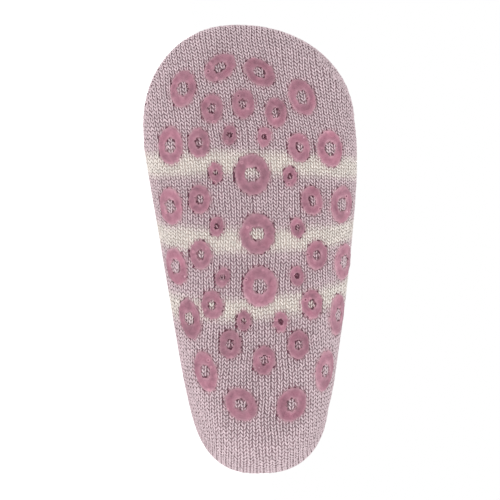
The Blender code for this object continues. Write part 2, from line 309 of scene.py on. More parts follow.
# ------------------------------------------------------------------ the print
def ring_list():
    rings = []
    for number, (kind, along, left, right, lead, turn_left, turn_right) in enumerate(GRIP_ROWS, 1):
        if right is None:
            pair = [("c", along, left, turn_left)]
        else:
            pair = [("l", along + lead / 2, left, turn_left),
                    ("r", along - lead / 2, right, turn_right)]
        for side, at, around, turn in pair:
            a, b = np.array(at), np.array(around)
            slope = np.linalg.norm(on_chart(CHART_POINTS, a + 1.0, b)
                                   - on_chart(CHART_POINTS, a - 1.0, b)) / 2
            rings.append(dict(node=f"grip_{number:02d}_{side}", at=at, around=around,
                              swing=math.radians(turn), size=RING_KINDS[kind], slope=slope,
                              kind=kind))
    return rings


RINGS = ring_list()


def ring_reach(along, around):
    """For points on the chart: signed distance outside the nearest ring's outer edge, signed
    distance outside its hole's edge (negative is inside) and the hole's width, mm."""
    best_out = np.full(len(along), 99.0)
    best_hole = np.full(len(along), 99.0)
    best_wide = np.full(len(along), 99.0)
    for ring in RINGS:
        du = (along - ring["at"]) * ring["slope"]
        dv = around - ring["around"]
        near = np.abs(du) + np.abs(dv) < 16
        if not near.any():
            continue
        c, s = math.cos(ring["swing"]), math.sin(ring["swing"])
        ahead, aside = du * c + dv * s, -du * s + dv * c
        length, width, hole_length, hole_width = ring["size"]
        far = np.hypot(ahead, aside)

        def outside(p, q):
            reach = np.hypot(ahead / p, aside / q)
            return far * (1 - 1 / np.maximum(reach, 1e-6))
        out = outside(length / 2, width / 2)
        hole = outside(hole_length / 2, hole_width / 2)
        pick = near & (out < best_out)
        best_out = np.where(pick, out, best_out)
        best_hole = np.where(pick, hole, best_hole)
        best_wide = np.where(pick, hole_width, best_wide)
    return best_out, best_hole, best_wide


# ------------------------------------------------------------------ wales and courses
WALES = 47                 # in each half of the tube
COURSE = 0.96              # from one stitch to the next along a wale
LEG_ROW, HEEL_ROW = 3.0, 5.2
CUFF_ROW = 1.75            # where the rib ends
SEAM_AT = 0.34             # how far round the toe the linking seam lies, on top
TOE_GATHER = 0.02          # how far the wales draw together over the toe
TOE_LEAN = 0.105           # how far they lean
TOE_STRETCH = 0.64         # how short a stretched course may look from below, over the toe


def twist(t):
    """How far, in wales, the knit has turned round the tube, seen from the toe's root."""
    x = np.interp(t, [0, 5, 7, LAST_ROW], [0.0, 0.0, 0.0, 1.0])
    lean = np.clip((t - 13.5) / 1.5, 0.0, 1.0)
    return (x - 1.0) * 1.6 + 0.5 * (1 - lean ** 2)


# The courses don't run square across the foot. By distance back from the toe's root along the
# middle of the sole, mm: how far forward a course climbs for each mm to the right, and how it
# bends.
COURSE_AT = [-16.0, -8.0, 9.0, 29.6, 47.5, 62.0, 78.0]
COURSE_SLOPE = [-0.13, -0.12, -0.055, -0.040, 0.026, 0.010, 0.0]
COURSE_BEND = [-0.0026, -0.0026, -0.0029, 0.0021, 0.0034, 0.0015, 0.0]


def course_shift(d, y):
    """From a course's place on the middle of the sole to its place at y."""
    return (d - np.interp(d, COURSE_AT, COURSE_SLOPE) * y
            - np.interp(d, COURSE_AT, COURSE_BEND) * y ** 2)


FINE = np.concatenate([-0.5 + np.linspace(0.0, 1.0, 401), 0.5 + np.linspace(0.0, 1.0, 401)[1:]])
FINE *= math.pi


def wale_angle(t, fraction):
    """Angle round section t of a wale, by its place in the tube: 0 to 1 is the sole half from
    left to right, 1 to 2 the upper half back to the left."""
    fine = FINE
    line = surface(t, fine)
    run = running(line)
    half = run[400]
    place = np.where(run <= half, run / half, 1 + (run - half) / (run[-1] - half))
    return np.interp(np.mod(fraction, 2.0), place, fine)


def build_wales():
    """Every wale as a line of (t, a) from the cuff to the toe seam."""
    rows_t = np.linspace(0.0, LAST_ROW, 220)
    places = (np.arange(2 * WALES) + 0.5) / WALES
    angles = np.array([wale_angle(np.array(t), places + twist(t) / WALES) for t in rows_t])
    wales = []
    root = angles[-1]
    n_root_back, n_root_front = TABLE[-1, 7], TABLE[-1, 8]
    half = (TABLE[-1, 4] + TABLE[-1, 5]) / 2
    centre = (TABLE[-1, 5] - TABLE[-1, 4]) / 2
    for w in range(2 * WALES):
        sole = w < WALES
        n = n_root_back if sole else n_root_front
        v0 = float(power(np.sin(root[w]), 2 / n))

        def slide(phi):
            ahead, wide = np.sin(phi) ** (2 / TOE_PLAN), np.cos(phi) ** (2 / TOE_PLAN)
            drift = (1 - wide) * (TOE_TIP[1] - centre) / half
            free = 1 - max(v0, 0.0) ** 6
            return v0 * (1 - TOE_GATHER * free * ahead) - TOE_LEAN * free * ahead - drift

        def spare(phi):
            return np.cos(phi) ** (2 / TOE_PLAN) - np.abs(slide(phi))
        low, high = 0.0, math.pi / 2
        for _ in range(50):
            mid = (low + high) / 2
            low, high = (mid, high) if spare(mid) > 0 else (low, mid)
        turn_at = low
        seam = min(0.5 * turn_at, SEAM_AT * 1.45 * (1 - v0 ** 2) ** 0.7)
        if sole:
            forth = turn_at * np.sin(np.linspace(0, 1, 90) * math.pi / 2)
            return_ = turn_at - (turn_at - seam) * (1 - np.cos(np.linspace(0, 1, 80)[1:]
                                                              * math.pi / 2))
            phi = np.concatenate([forth[1:], return_])
            top = np.concatenate([np.zeros(len(forth) - 1, bool), np.ones(len(return_), bool)])
        else:
            phi = seam * np.linspace(0, 1, 60)[1:]
            top = np.ones(len(phi), bool)
        ss = np.clip(slide(phi) / np.maximum(np.cos(phi) ** (2 / TOE_PLAN), 1e-6), -1, 1)
        a_sole = np.arcsin(power(ss, n_root_back / 2))
        a_top = math.pi - np.arcsin(power(ss, n_root_front / 2))
        a_dome = np.where(top, a_top, a_sole)
        t_dome = LAST_ROW + DOME * phi / (math.pi / 2)
        t = np.concatenate([rows_t, t_dome])
        a = np.concatenate([angles[:, w], a_dome])
        # keep the angle running on without a jump of a whole turn
        a = np.unwrap(a)
        dome_v = np.concatenate([np.full(len(rows_t), v0), slide(phi)])
        wales.append(dict(index=w, sole=sole, t=t, a=a, root=len(rows_t) - 1, v=dome_v))
    return wales, half


def stray(p, which):
    """Slow wandering of the wales (0) or courses (1), mm."""
    x, y, z = p[:, 0], p[:, 1], p[:, 2]
    if which == 0:
        return (0.16 * np.sin(x / 5.1 + y / 9.0 + 1.3) + 0.12 * np.sin(x / 2.7 - y / 4.3 + z / 6.0)
                + 0.07 * np.sin(x / 1.6 + y / 2.1 + 0.4))
    return (0.14 * np.sin(y / 4.7 + x / 8.0) + 0.10 * np.sin(y / 2.3 - x / 5.2 + z / 7.0 + 2.0)
            + 0.06 * np.sin(x / 1.9 - y / 1.7))


def place_stitches():
    """Places, directions and sizes of every stitch of the plain knit."""
    wales, half = build_wales()
    root_places = np.array([w["v"][w["root"]] for w in wales])
    out = {k: [] for k in ("p", "e", "n", "w", "c", "d", "t", "wale", "k", "zone")}
    for wale in wales:
        t, a = wale["t"], wale["a"]
        line = surface(t, a)
        run = running(line)
        # over the toe and round the heel the knit is drawn out, so that its courses stay as
        # far apart seen from below
        flat = np.abs(np.gradient(line[:, 0])) / np.maximum(np.gradient(run), 1e-6)
        ease = np.where(np.arange(len(t)) > wale["root"], np.clip(flat, TOE_STRETCH, 1.0), 1.0)
        if wale["sole"]:
            ease = np.where((t < 9.5) & (t > 4.0), np.clip(flat, 0.74, 1.0), ease)
        eased = np.concatenate([[0.0], np.cumsum(np.diff(run) * (ease[1:] + ease[:-1]) / 2)])
        at = lambda value: float(np.interp(value, t[:wale["root"] + 1], run[:wale["root"] + 1]))
        leg, heel, root = at(LEG_ROW), at(HEEL_ROW), run[wale["root"]]
        count = 37
        legs = leg * (np.arange(count) + 0.5) / count
        row = np.arange(150, -60, -1)
        y_here = float(line[wale["root"], 1])
        eased_root = eased[wale["root"]]
        foot = np.interp(eased_root - course_shift(row * COURSE, y_here), eased, run,
                         left=-1.0, right=1e6)
        keep = (foot > heel) & (foot < run[-1] - 0.3 * COURSE)
        foot, row = foot[keep], row[keep]
        foot_size = np.abs(np.gradient(foot))
        gap = foot[0] - leg
        between = max(int(round(gap / COURSE)), 1)
        mids = leg + gap * (np.arange(between) + 0.5) / between
        spots = np.concatenate([legs, mids, foot])
        number = np.concatenate([np.full(count, 400.0), np.full(between, 300.0), row])
        size = np.concatenate([np.full(count, leg / count), np.full(between, gap / between),
                               foot_size])
        ts, as_ = np.interp(spots, run, t), np.interp(spots, run, a)
        p = surface(ts, as_)
        as_ = as_ + stray(p, 0) / np.maximum(np.linalg.norm(
            surface(ts, as_ + 0.02) - surface(ts, as_ - 0.02), axis=-1) / 0.04, 8.0)
        spots = spots + stray(p, 1)
        ts = np.interp(spots, run, t)
        p = surface(ts, as_)
        step = 0.3
        fore = np.interp(np.minimum(spots + step, run[-1]), run, np.arange(len(run)))
        aft = np.interp(np.maximum(spots - step, 0), run, np.arange(len(run)))
        ahead = np.stack([np.interp(fore, np.arange(len(run)), line[:, k])
                          - np.interp(aft, np.arange(len(run)), line[:, k]) for k in range(3)], -1)
        n = normal(ts, as_)
        e = unit(ahead)
        e = unit(e - (e * n).sum(-1, keepdims=True) * n)
        # width of the wale here
        w = wale["index"]
        across = np.cross(n, e)
        if wale["sole"]:
            spread = np.abs(root_places[min(w + 1, WALES - 1)] - root_places[max(w - 1, 0)])
            spread /= (min(w + 1, WALES - 1) - max(w - 1, 0))
        else:
            hi, lo = min(w + 1, 2 * WALES - 1), max(w - 1, WALES)
            spread = np.abs(root_places[hi] - root_places[lo]) / (hi - lo)
        on_dome = spots > root
        span = (np.pi / 2) / WALES
        delta = 0.02
        rim = np.linalg.norm(surface(ts, as_ + delta) - surface(ts, as_ - delta), axis=-1) / (
            2 * delta)
        # even places: width is the half's run over its wales
        wide = np.empty(len(ts))
        fine_t = np.linspace(0, LAST_ROW, 60)
        if not hasattr(place_stitches, "halves"):
            back_run, front_run = [], []
            for value in fine_t:
                full = running(surface(value, FINE))
                back_run.append(full[400]); front_run.append(full[-1] - full[400])
            place_stitches.halves = (np.array(back_run), np.array(front_run))
        halves = place_stitches.halves[0 if wale["sole"] else 1]
        wide = np.interp(ts, fine_t, halves) / WALES
        dome_wide = (spread * half * (1 - TOE_GATHER * 0.5)
                     / np.sqrt(np.maximum(1 - n[:, 1] ** 2, 0.02)))
        wide = np.where(on_dome, np.clip(dome_wide, 0.75 * wide, 1.9 * wide), wide)
        for key, value in (("p", p), ("e", e), ("n", n), ("w", wide), ("c", size),
                           ("d", root - spots), ("t", ts), ("wale", np.full(len(ts), w)),
                           ("k", number), ("zone", on_dome.astype(int))):
            out[key].append(value)
    return {k: np.concatenate(v) for k, v in out.items()}, wales


def fill_toe(stitches):
    """Short extra wales at the toe's sides, where the long ones have spread apart."""
    usual = 1.2
    extra = {key: [] for key in stitches}
    widths = {}
    dome = (stitches["zone"] == 1) & (stitches["wale"] < WALES)
    for w in range(WALES - 1):
        ours, theirs = np.where(dome & (stitches["wale"] == w))[0], np.where(
            dome & (stitches["wale"] == w + 1))[0]
        if not len(ours) or not len(theirs):
            continue
        apart = stitches["p"][theirs][None] - stitches["p"][ours][:, None]
        nearest = (apart ** 2).sum(-1).argmin(1)
        for i, j, step in zip(ours, theirs[nearest], apart[np.arange(len(ours)), nearest]):
            heading = unit(stitches["e"][i] + stitches["e"][j])
            along = float(step @ heading)
            far = float(np.linalg.norm(step - along * heading))
            if abs(along) > 1.2 or far > 7.0:
                continue
            parts = max(int(round(far / usual)), 1)
            for index in (i, j):
                widths.setdefault(index, []).append(far / parts)
            for f in np.arange(1, parts) / parts:
                for key in stitches:
                    value = stitches[key][i] * (1 - f) + stitches[key][j] * f
                    if key in ("e", "n"):
                        value = unit(value)
                    if key == "w":
                        value = far / parts
                    if key in ("wale", "zone"):
                        value = stitches[key][i]
                    extra[key].append(value)
    for index, found in widths.items():
        stitches["w"][index] = np.clip(np.mean(found), 0.8, 1.75)
    return {key: np.concatenate([stitches[key], np.array(extra[key])]) if extra[key]
            else stitches[key] for key in stitches}


STITCHES, WALE_LINES = place_stitches()
STITCHES = fill_toe(STITCHES)
STITCHES["p"] = creased(STITCHES["p"], STITCHES["n"])
print("stitches", len(STITCHES["t"]))

# ------------------------------------------------------------------ where the bands lie
BANDS = [
    # middle  width, mm, back from the toe's root along the middle of the sole
    (9.0,  5.8),
    (29.6, 5.8),
    (47.5, 5.2),
]
BAND_SOFT = 2.8            # over this length one yarn gives way to the other


def looseness_and_side_light(turned, x):
    """How relaxed the knit lies, and how far its painted shade is changed for the light from the
    sides: 0 on the printed sole, 1 where it turns up at the sides.
    """
    return np.clip((turned + 0.985) / 0.30, 0.0, 1.0) * np.interp(
        x, [5, 30, 45, 85, 98], [0.85, 0.95, 1.0, 1.0, 0.2])


def band_amount(place):
    """0 in mauve, 1 in cream, by a course's place on the middle of the sole."""
    amount = np.zeros_like(place)
    for middle, width in BANDS:
        inside = width / 2 - np.abs(place - middle)
        amount = np.maximum(amount, np.clip(inside / BAND_SOFT + 0.5, 0, 1))
    return amount


# ------------------------------------------------------------------ materials
def srgb(r, g, b):
    return tuple(((v / 255) / 12.92 if v <= 10 else ((v / 255 + 0.055) / 1.055) ** 2.4)
                 for v in (r, g, b)) + (1.0,)


class Nodes:
    def __init__(self, name):
        self.material = bpy.data.materials.new(name)
        self.material.use_nodes = True
        self.tree = self.material.node_tree
        self.shader = self.tree.nodes["Principled BSDF"]

    def add(self, kind, inputs=None, **props):
        node = self.tree.nodes.new(kind)
        for key, value in props.items():
            setattr(node, key, value)
        for key, value in (inputs or {}).items():
            if isinstance(value, bpy.types.NodeSocket):
                self.tree.links.new(value, node.inputs[key])
            else:
                node.inputs[key].default_value = value
        return node

    def link(self, a, b):
        self.tree.links.new(a, b)

    def mix(self, factor, one, two, blend="MIX"):
        node = self.tree.nodes.new("ShaderNodeMix")
        node.data_type = "RGBA"
        node.blend_type = blend
        for socket, value in ((node.inputs[0], factor), (node.inputs[6], one),
                              (node.inputs[7], two)):
            if isinstance(value, bpy.types.NodeSocket):
                self.tree.links.new(value, socket)
            else:
                socket.default_value = value
        return node.outputs[2]

    def math(self, operation, a, b=0.5, c=None):
        node = self.tree.nodes.new("ShaderNodeMath")
        node.operation = operation
        for socket, value in zip(node.inputs, (a, b, c)):
            if value is None:
                continue
            if isinstance(value, bpy.types.NodeSocket):
                self.tree.links.new(value, socket)
            else:
                socket.default_value = value
        return node.outputs[0]


def yarn_material(name, light, cream, dark, cream_dark):
    """Knit yarn. The mesh attribute "yarn" holds cream, shade and the amount of painted shade for
    each stitch, and its alpha how much of the yarn is free of the print."""
    m = Nodes(name)
    tag = m.add("ShaderNodeAttribute", attribute_name="yarn")
    split = m.add("ShaderNodeSeparateColor", {"Color": tag.outputs["Color"]})
    is_cream, shade, deep = split.outputs
    place = m.add("ShaderNodeTexCoord").outputs["Object"]
    hairs = m.add("ShaderNodeTexNoise", {"Vector": place, "Scale": 2600.0, "Detail": 3.0,
                                         "Roughness": 0.7})
    cloud = m.add("ShaderNodeTexNoise", {"Vector": place, "Scale": 90.0, "Detail": 2.0})
    lit = m.mix(is_cream, light, cream)
    # the dark colours are painted shade, mixed in by the attribute's third channel and a fibre noise
    low = m.mix(is_cream, dark, cream_dark)
    painted_shade_amount = m.math("MULTIPLY_ADD", hairs.outputs["Fac"], 0.22, deep)
    painted_shade_amount = m.math("SUBTRACT", painted_shade_amount, 0.11)
    clamp = m.add("ShaderNodeClamp", {"Value": painted_shade_amount}).outputs[0]
    colour = m.mix(clamp, lit, low)
    # where the print has soaked in, the yarn takes its colour, darkened by the same painted shade
    soak = m.math("SUBTRACT", 1.0, tag.outputs["Alpha"])
    colour = m.mix(soak, colour, m.mix(clamp, srgb(190, 146, 158), srgb(108, 56, 75)))
    tone = m.math("MULTIPLY_ADD", shade, 0.32, 0.81)
    tone = m.math("MULTIPLY_ADD", cloud.outputs["Fac"], 0.08, tone)
    grey = m.add("ShaderNodeCombineXYZ", {0: tone, 1: tone, 2: tone}).outputs[0]
    colour = m.mix(1.0, colour, grey, "MULTIPLY")
    m.link(colour, m.shader.inputs["Base Color"])
    strand = m.add("ShaderNodeTexWave", {"Vector": place, "Scale": 900.0, "Distortion": 6.0,
                                         "Detail": 2.0}, wave_type="BANDS",
                   bands_direction="DIAGONAL")
    height = m.math("MULTIPLY_ADD", strand.outputs["Fac"], 0.5, hairs.outputs["Fac"])
    bump = m.add("ShaderNodeBump", {"Height": height, "Strength": 0.35, "Distance": 0.00008})
    m.link(bump.outputs[0], m.shader.inputs["Normal"])
    m.shader.inputs["Roughness"].default_value = 0.92
    m.shader.inputs["Specular IOR Level"].default_value = 0.15
    m.shader.inputs["Sheen Weight"].default_value = 0.18
    m.shader.inputs["Sheen Roughness"].default_value = 0.5
    m.shader.inputs["Sheen Tint"].default_value = (1.0, 0.93, 0.95, 1.0)
    return m.material


# each yarn: lit colour, cream, then the painted shade colours of both
YARN = yarn_material("yarn", srgb(207, 187, 192), srgb(224, 216, 209),
                     srgb(157, 129, 138), srgb(196, 182, 175))
CORE = yarn_material("core", srgb(198, 173, 179), srgb(228, 219, 211),
                     srgb(114, 84, 95), srgb(190, 174, 167))


def lining_material():
    """The inside: loops of terry, paler than the gaps outside."""
    m = Nodes("lining")
    place = m.add("ShaderNodeTexCoord").outputs["Object"]
    cells = m.add("ShaderNodeTexVoronoi", {"Vector": place, "Scale": 950.0})
    fluff = m.add("ShaderNodeTexNoise", {"Vector": place, "Scale": 1800.0, "Detail": 4.0})
    # the terry loops are lighter at their middles, with painted shade between them
    ramp = m.add("ShaderNodeValToRGB", {"Fac": cells.outputs["Distance"]})
    ramp.color_ramp.elements[0].color = srgb(228, 208, 213)
    ramp.color_ramp.elements[0].position = 0.1
    ramp.color_ramp.elements[1].color = srgb(168, 134, 146)
    ramp.color_ramp.elements[1].position = 0.75
    colour = m.mix(0.25, ramp.outputs[0], fluff.outputs["Color"], "SOFT_LIGHT")
    m.link(colour, m.shader.inputs["Base Color"])
    height = m.math("MULTIPLY_ADD", fluff.outputs["Fac"], 0.4, cells.outputs["Distance"])
    bump = m.add("ShaderNodeBump", {"Height": height, "Strength": 0.7, "Distance": 0.0004})
    bump.invert = True
    m.link(bump.outputs[0], m.shader.inputs["Normal"])
    m.shader.inputs["Roughness"].default_value = 0.95
    m.shader.inputs["Specular IOR Level"].default_value = 0.12
    m.shader.inputs["Sheen Weight"].default_value = 0.25
    return m.material


LINING = lining_material()


def silicone_material():
    """Printed silicone. The attribute "print" holds rim, thinness and a ring's own tone."""
    m = Nodes("grip_silicone")
    tag = m.add("ShaderNodeAttribute", attribute_name="print")
    split = m.add("ShaderNodeSeparateColor", {"Color": tag.outputs["Color"]})
    rim, thin, tone = split.outputs
    soaked = tag.outputs["Alpha"]
    place = m.add("ShaderNodeTexCoord").outputs["Object"]
    cloud = m.add("ShaderNodeTexNoise", {"Vector": place, "Scale": 480.0, "Detail": 4.0,
                                         "Roughness": 0.65, "Distortion": 0.6})
    spots = m.add("ShaderNodeTexVoronoi", {"Vector": place, "Scale": 520.0})
    broad = m.add("ShaderNodeTexNoise", {"Vector": place, "Scale": 230.0, "Detail": 2.0})
    greyer = m.add("ShaderNodeMapRange", {"Value": broad.outputs["Fac"], "From Min": 0.42,
                                          "From Max": 0.62})
    flush = m.add("ShaderNodeMapRange", {"Value": broad.outputs["Fac"], "From Min": 0.44,
                                         "From Max": 0.30})
    patch = m.add("ShaderNodeMapRange", {"Value": cloud.outputs["Fac"], "From Min": 0.28,
                                         "From Max": 0.74})
    body = m.mix(patch.outputs[0], srgb(123, 71, 90), srgb(170, 114, 131))
    body = m.mix(m.math("MULTIPLY", greyer.outputs[0], 0.18), body, srgb(132, 96, 108))
    body = m.mix(m.math("MULTIPLY", flush.outputs[0], 0.35), body, srgb(168, 102, 122))
    # thinner towards both edges, so paler there
    pale = m.math("MULTIPLY", rim, m.math("MULTIPLY_ADD", patch.outputs[0], 0.6, 0.35))
    body = m.mix(pale, body, srgb(202, 160, 171))
    # at the edges the silicone has only soaked in between the stitches; the darkest dots there are
    # painted shade of the holes between them
    gaps = m.add("ShaderNodeTexNoise", {"Vector": place, "Scale": 1150.0, "Detail": 1.0})
    limit = m.math("MULTIPLY_ADD", soaked, -0.15, 0.57)
    dotted = m.add("ShaderNodeMapRange", {"Value": gaps.outputs["Fac"], "From Min": limit,
                                          "From Max": m.math("ADD", limit, 0.09)})
    stain = m.mix(soaked, srgb(196, 160, 168), srgb(140, 84, 102))
    stain = m.mix(dotted.outputs[0], stain, srgb(104, 60, 76))
    body = m.mix(thin, body, stain)
    pin = m.add("ShaderNodeMapRange", {"Value": spots.outputs["Distance"], "From Min": 0.10,
                                       "From Max": 0.17, "To Min": 1.0, "To Max": 0.0})
    chosen = m.add("ShaderNodeSeparateColor", {"Color": spots.outputs["Color"]})
    few = m.math("GREATER_THAN", chosen.outputs[0], 0.80)
    dots = m.math("MULTIPLY", pin.outputs[0], few)
    halo = m.add("ShaderNodeMapRange", {"Value": spots.outputs["Distance"], "From Min": 0.20,
                                        "From Max": 0.34, "To Min": 0.6, "To Max": 0.0})
    body = m.mix(m.math("MULTIPLY", halo.outputs[0], few), body, srgb(200, 142, 158))
    body = m.mix(dots, body, srgb(108, 58, 74))
    # painted highlights: a few small light specks on the silicone
    few_glints = m.math("LESS_THAN", chosen.outputs[0], 0.07)
    painted_glints = m.math("MULTIPLY", pin.outputs[0], few_glints)
    body = m.mix(m.math("MULTIPLY", painted_glints, 0.6), body, srgb(216, 170, 184))
    level = m.math("MULTIPLY_ADD", tone, 0.42, 0.75)
    grey = m.add("ShaderNodeCombineXYZ", {0: level, 1: level, 2: level}).outputs[0]
    body = m.mix(1.0, body, grey, "MULTIPLY")
    m.link(body, m.shader.inputs["Base Color"])
    height = m.math("MULTIPLY_ADD", dots, -1.2, cloud.outputs["Fac"])
    bump = m.add("ShaderNodeBump", {"Height": height, "Strength": 0.8, "Distance": 0.00016})
    m.link(bump.outputs[0], m.shader.inputs["Normal"])
    rough = m.add("ShaderNodeMapRange", {"Value": cloud.outputs["Fac"], "To Min": 0.36,
                                         "To Max": 0.55})
    m.link(rough.outputs[0], m.shader.inputs["Roughness"])
    m.shader.inputs["Specular IOR Level"].default_value = 0.4
    m.shader.inputs["Coat Weight"].default_value = 0.35
    m.shader.inputs["Coat Roughness"].default_value = 0.16
    return m.material


SILICONE = silicone_material()


# ------------------------------------------------------------------ meshes
def add_mesh(name, verts, faces, look, attributes=None, smooth=True):
    """A mesh object from arrays: world metres, and faces as an (n, 3) or (n, 4) array."""
    faces = np.asarray(faces)
    mesh = bpy.data.meshes.new(name)
    count, corners = faces.shape
    mesh.vertices.add(len(verts))
    mesh.vertices.foreach_set("co", np.asarray(verts, np.float32).ravel())
    mesh.loops.add(count * corners)
    mesh.loops.foreach_set("vertex_index", faces.astype(np.int32).ravel())
    mesh.polygons.add(count)
    mesh.polygons.foreach_set("loop_start", np.arange(0, count * corners, corners,
                                                      dtype=np.int32))
    mesh.polygons.foreach_set("loop_total", np.full(count, corners, dtype=np.int32))
    mesh.update(calc_edges=True)
    mesh.validate()
    mesh.polygons.foreach_set("use_smooth", np.full(count, smooth))
    for key, value in (attributes or {}).items():
        colour = mesh.color_attributes.new(name=key, type="FLOAT_COLOR", domain="POINT")
        colour.data.foreach_set("color", np.asarray(value, np.float32).ravel())
    for material in (look if isinstance(look, (list, tuple)) else [look]):
        mesh.materials.append(material)
    made = bpy.data.objects.new(name, mesh)
    scene.collection.objects.link(made)
    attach(made, "root")
    return made


# One leg of a stitch: where its middle runs, in courses along, wales across, and mm of lift,
# and how thick it is there, in wales across and mm deep.
LEG = [
    # along  across  lift   half_wide half_deep
    (-0.72,  0.090, -0.27,  0.00,  0.00),
    (-0.38,  0.150, -0.10,  0.145, 0.12),
    ( 0.00,  0.245, -0.04,  0.178, 0.15),
    ( 0.38,  0.335, -0.08,  0.154, 0.13),
    ( 0.76,  0.415, -0.29,  0.00,  0.00),
]
# how far the stitches lean over, mm across for each mm along, by place back from the toe's root
SKEW_AT = [-30.0, -5.0, 8.0, 32.0, 46.0, 80.0, 95.0]
SKEW = [0.12, 0.14, 0.18, 0.17, 0.05, 0.08, 0.0]


def leg_template(rows, sides):
    """Vertices and triangles of one leg, a bent spindle."""
    verts, tris = [], []
    rings = []
    for k, (along, across, lift, half_wide, half_deep) in enumerate(rows):
        if half_wide == 0:
            rings.append([len(verts)])
            verts.append((along, across, lift))
            continue
        ring = []
        for s in range(sides):
            angle = 2 * math.pi * (s + 0.5) / sides
            ring.append(len(verts))
            verts.append((along, across + half_wide * math.cos(angle),
                          lift + half_deep * math.sin(angle)))
        rings.append(ring)
    for one, two in zip(rings[:-1], rings[1:]):
        if len(one) == 1:
            for s in range(sides):
                tris.append((one[0], two[(s + 1) % sides], two[s]))
        elif len(two) == 1:
            for s in range(sides):
                tris.append((one[s], one[(s + 1) % sides], two[0]))
        else:
            for s in range(sides):
                k = (s + 1) % sides
                tris.append((one[s], one[k], two[k]))
                tris.append((one[s], two[k], two[s]))
    return np.array(verts, float), np.array(tris, int)


def stitch_mesh(name, pick, look, sides, lower, yarn, rib=None):
    """The picked stitches, two legs each, as one mesh of closed spindles."""
    base, tris = leg_template(LEG, sides)
    middle = np.interp(base[:, 0], [row[0] for row in LEG], [row[1] for row in LEG])[None]
    index = np.where(pick)[0]
    p, e, n = (STITCHES[k][index] for k in ("p", "e", "n"))
    w, c = STITCHES["w"][index], STITCHES["c"][index]
    side = np.cross(n, e)
    skew = np.interp(STITCHES["d"][index], SKEW_AT, SKEW)[:, None]
    all_verts, all_tris, all_yarn = [], [], []
    offset = 0
    for mirror in (1, -1):
        count = len(index)
        shift = RNG.normal(0, 1, (count, 5))
        along = base[None, :, 0] * c[:, None] + 0.055 * shift[:, :1]
        # the leg that lies flatter across the wale is pressed wider
        across = middle + (base[None, :, 1] - middle) * (1 + 0.3 * LOOSE_AND_SIDE_LIT[index][:, None]) * (
            1.22 if mirror == 1 else 0.98)
        across = (across * (1 + 0.06 * shift[:, 1:2]) + 0.018 * shift[:, 2:3]
                  ) * mirror * w[:, None]
        across = across + (skew + 0.09 * shift[:, 3:4]) * along
        lift = (base[None, :, 2] * (1 - 0.55 * LOOSE_AND_SIDE_LIT[index][:, None]) + 0.022 * shift[:, 3:4]
                + lower[index][:, None])
        verts = (p[:, None] + along[..., None] * e[:, None] + across[..., None] * side[:, None]
                 + lift[..., None] * n[:, None])
        verts = pressed(verts, 0.02)
        faces = tris if mirror == 1 else tris[:, ::-1]
        faces = faces[None] + (np.arange(count) * len(base))[:, None, None] + offset
        offset += count * len(base)
        own = np.clip(yarn[index][:, None, :] + 0, 0, 1).repeat(len(base), axis=1)
        side_lit = LOOSE_AND_SIDE_LIT[index][:, None]
        own[..., 1] = np.clip(own[..., 1] + 0.10 * shift[:, 4:5], 0, 1)
        # the ends of a leg dive under its neighbours and get painted shade there, less where the
        # knit turns up at the sides and in cream
        ends = np.where(base[:, 2] < -0.25, 0.75, np.where(base[:, 2] < -0.20, 0.16, 0.0))
        ends = ends[None] * (1 - 0.75 * side_lit) * (1 - 0.3 * own[..., 0])
        own[..., 2] = np.clip(own[..., 2] + ends, 0, 1)
        all_verts.append(verts.reshape(-1, 3))
        all_tris.append(faces.reshape(-1, 3))
        all_yarn.append(own.reshape(-1, 4))
    verts = to_world(np.concatenate(all_verts))
    faces = np.concatenate(all_tris)
    made = add_mesh(name, verts, faces, look,
                    {"yarn": np.concatenate(all_yarn)})
    print(name, "stitches", len(index), "triangles", len(faces))
    return made


def hole_soak(hole, size):
    """How much print there is in the knit at this place in a ring's hole, most in small ones."""
    return (np.interp(size, [1.3, 1.6, 2.6, 3.8], [0.8, 0.75, 0.35, 0.2])
            * np.clip(1 + hole / 1.1, 0, 1))


# which stitches lie on the print, and what that does to them
COUNT = len(STITCHES["t"])
ON_SOLE = (STITCHES["wale"] < WALES) & (STITCHES["t"] > 5.2)
LOWER = np.zeros(COUNT)
HIDDEN = np.zeros(COUNT, bool)
RING_SHADE = np.zeros(COUNT)
picked = np.where(ON_SOLE)[0]
chart_along, chart_around, off = chart_place(STITCHES["p"][picked])
out, hole, hole_size = ring_reach(chart_along, chart_around)
near = off < 1.5
print_band = near & (out < 0) & (hole > 0)
HIDDEN[picked] = print_band & (out < -0.75) & (hole > 0.75)
squash = np.where(print_band, 0.32, 0.0)
edge_out = near & (out >= 0) & (out < 1.1)
squash = np.where(edge_out, 0.09 * (1 - out / 1.1), squash)
in_hole = near & (hole <= 0)
squash = np.where(in_hole, 0.10 * np.clip(1 + hole / 0.6, 0, 1) - 0.08, squash)
LOWER[picked] = -squash
# painted shade: the knit is darker where it dips at a ring's edge, under the edge of the print and
# in the holes
dark = np.where(edge_out, 0.12 * (1 - out / 1.1), 0.0)
dark = np.where(print_band, 0.5, dark)
dark = np.where(in_hole, 0.15 * np.clip(1 + hole / 0.5, 0, 1) + 0.12 * (hole_size < 1.8), dark)
RING_SHADE[picked] = dark
soaked = np.where(edge_out, 0.40 * (1 - out / 1.1), 0.0)
soaked = np.where(print_band, 0.8, soaked)
soaked = np.where(in_hole, hole_soak(hole, hole_size), soaked)
SOAKED = np.zeros(COUNT)
SOAKED[picked] = soaked
# how near the print each stitch lies, which enlarges its spot of painted shade
NEAR_RING = np.zeros(COUNT)
NEAR_RING[picked] = np.where(near & (out > -0.4), np.clip(1 - out / 1.2, 0, 1), 0.0)
NEAR_RING[picked] = np.where(in_hole, np.clip(1 + hole / 1.0, 0.25, 1), NEAR_RING[picked])

LOOSE_AND_SIDE_LIT = looseness_and_side_light(STITCHES["n"][:, 2], STITCHES["p"][:, 0])

